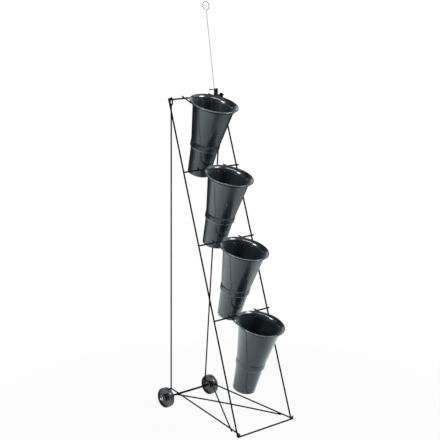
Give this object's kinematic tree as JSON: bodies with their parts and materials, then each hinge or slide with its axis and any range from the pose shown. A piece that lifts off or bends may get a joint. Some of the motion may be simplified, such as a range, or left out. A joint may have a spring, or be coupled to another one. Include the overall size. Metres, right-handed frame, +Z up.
{
  "type": "plant trolley",
  "caption": "Leaning display trolley of bent black rod that carries tilted cone-shaped flower vases in tiers, with a folding rear frame on wheels, a hooked base frame and a wire card holder.",
  "frame": {"origin": "on the floor, under the middle of the bounding box", "axes": "+Z up, -Y the front that the vases lean towards, +X along the axle"},
  "size_m": [0.299, 0.5269, 1.5529],
  "materials": {
    "black_rod": "satin",
    "black_gloss_plastic": "gloss",
    "dark_wheel_plastic": "satin",
    "black_moulded_plastic": "satin",
    "bright_steel": "polished"
  },
  "bodies": {
    "front_frame": {"left_leg": "black_rod", "right_leg": "black_rod", "top_bar": "black_rod", "cross_rod_2": "black_rod", "cross_rod_3": "black_rod", "cross_rod_4": "black_rod", "front_bar": "black_rod", "vase_hoop_1": "black_rod", "vase_hoop_2": "black_rod", "vase_hoop_3": "black_rod", "vase_hoop_4": "black_rod"},
    "rear_frame": {"left_upright": "black_rod", "right_upright": "black_rod", "axle": "black_rod", "left_axle_washer": "black_moulded_plastic", "right_axle_washer": "black_moulded_plastic", "left_axle_cap": "bright_steel", "right_axle_cap": "bright_steel"},
    "left_wheel": {"left_wheel": "dark_wheel_plastic"},
    "right_wheel": {"right_wheel": "dark_wheel_plastic"},
    "base_frame": {"left_brace": "black_rod", "right_brace": "black_rod", "diagonal_over": "black_rod", "diagonal_under": "black_rod"},
    "card_clip": {"card_clip": "black_moulded_plastic"},
    "card_wire": {"card_wire": "bright_steel"},
    "clamp_screw": {"clamp_screw": "bright_steel"},
    "vase_1": {"vase_1": "black_gloss_plastic"},
    "vase_2": {"vase_2": "black_gloss_plastic"},
    "vase_3": {"vase_3": "black_gloss_plastic"},
    "vase_4": {"vase_4": "black_gloss_plastic"}
  },
  "joints": [
    {"name": "rear_fold", "type": "hinge", "parent": "front_frame", "child": "rear_frame", "pos_m": [0, 0.16869, 1.20153], "axis": [-1, 0, 0], "range_deg": [0, 18]},
    {"name": "left_wheel_spin", "type": "hinge", "parent": "rear_frame", "child": "left_wheel", "pos_m": [-0.1155, 0.22469, 0.0395], "axis": [1, 0, 0], "continuous": true},
    {"name": "right_wheel_spin", "type": "hinge", "parent": "rear_frame", "child": "right_wheel", "pos_m": [0.1155, 0.22469, 0.0395], "axis": [1, 0, 0], "continuous": true},
    {"name": "base_lift", "type": "hinge", "parent": "rear_frame", "child": "base_frame", "pos_m": [0, 0.22334, 0.0675], "axis": [-1, 0, 0], "range_deg": [0, 40]},
    {"name": "card_clip_slide", "type": "slide", "parent": "front_frame", "child": "card_clip", "axis": [1, 0, 0], "range_m": [-0.015, 0.015]},
    {"name": "card_wire_tilt", "type": "hinge", "parent": "card_clip", "child": "card_wire", "pos_m": [0.0901, 0.16869, 1.22553], "axis": [1, 0, 0], "range_deg": [-60, 15]},
    {"name": "clamp_screw_turn", "type": "hinge", "parent": "card_clip", "child": "clamp_screw", "pos_m": [0.0865, 0.16869, 1.22553], "axis": [1, 0, 0], "continuous": true},
    {"name": "vase_1_lift", "type": "slide", "parent": "front_frame", "child": "vase_1", "axis": [0, -0.4067, 0.9135], "range_m": [0, 0.29]},
    {"name": "vase_2_lift", "type": "slide", "parent": "front_frame", "child": "vase_2", "axis": [0, -0.4067, 0.9135], "range_m": [0, 0.29]},
    {"name": "vase_3_lift", "type": "slide", "parent": "front_frame", "child": "vase_3", "axis": [0, -0.4067, 0.9135], "range_m": [0, 0.29]},
    {"name": "vase_4_lift", "type": "slide", "parent": "front_frame", "child": "vase_4", "axis": [0, -0.4067, 0.9135], "range_m": [0, 0.29]}
  ]
}
